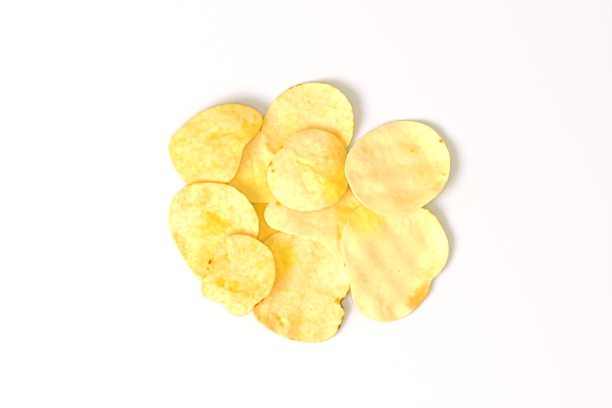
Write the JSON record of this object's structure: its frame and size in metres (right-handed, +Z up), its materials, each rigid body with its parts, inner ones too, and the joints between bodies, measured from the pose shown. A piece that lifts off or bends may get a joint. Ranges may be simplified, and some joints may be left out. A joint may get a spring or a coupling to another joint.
{
  "type": "heap of potato crisps",
  "caption": "Loose heap of thin wavy fried potato slices, golden yellow, overlapping each other as they lie flat on a table.",
  "frame": {"origin": "middle of the heap's box in plan, at the table's surface", "axes": "+Z up from the table, +Y towards the top of the heap as it is seen from above, +X to its right"},
  "size_m": [0.1414, 0.1302, 0.0145],
  "materials": {
    "fried_potato": "satin, pale golden fried potato with a thin film of oil, browned at a few places on the rims"
  },
  "bodies": {
    "root": {"crisp_bottom_of_gap": "fried_potato", "crisp_middle_left": "fried_potato", "crisp_bottom_centre": "fried_potato", "crisp_top_centre": "fried_potato", "crisp_top_left": "fried_potato", "crisp_centre_low": "fried_potato", "crisp_bottom_right": "fried_potato", "crisp_centre_top": "fried_potato", "crisp_left": "fried_potato", "crisp_top_right": "fried_potato", "crisp_bottom_left": "fried_potato"}
  },
  "joints": []
}
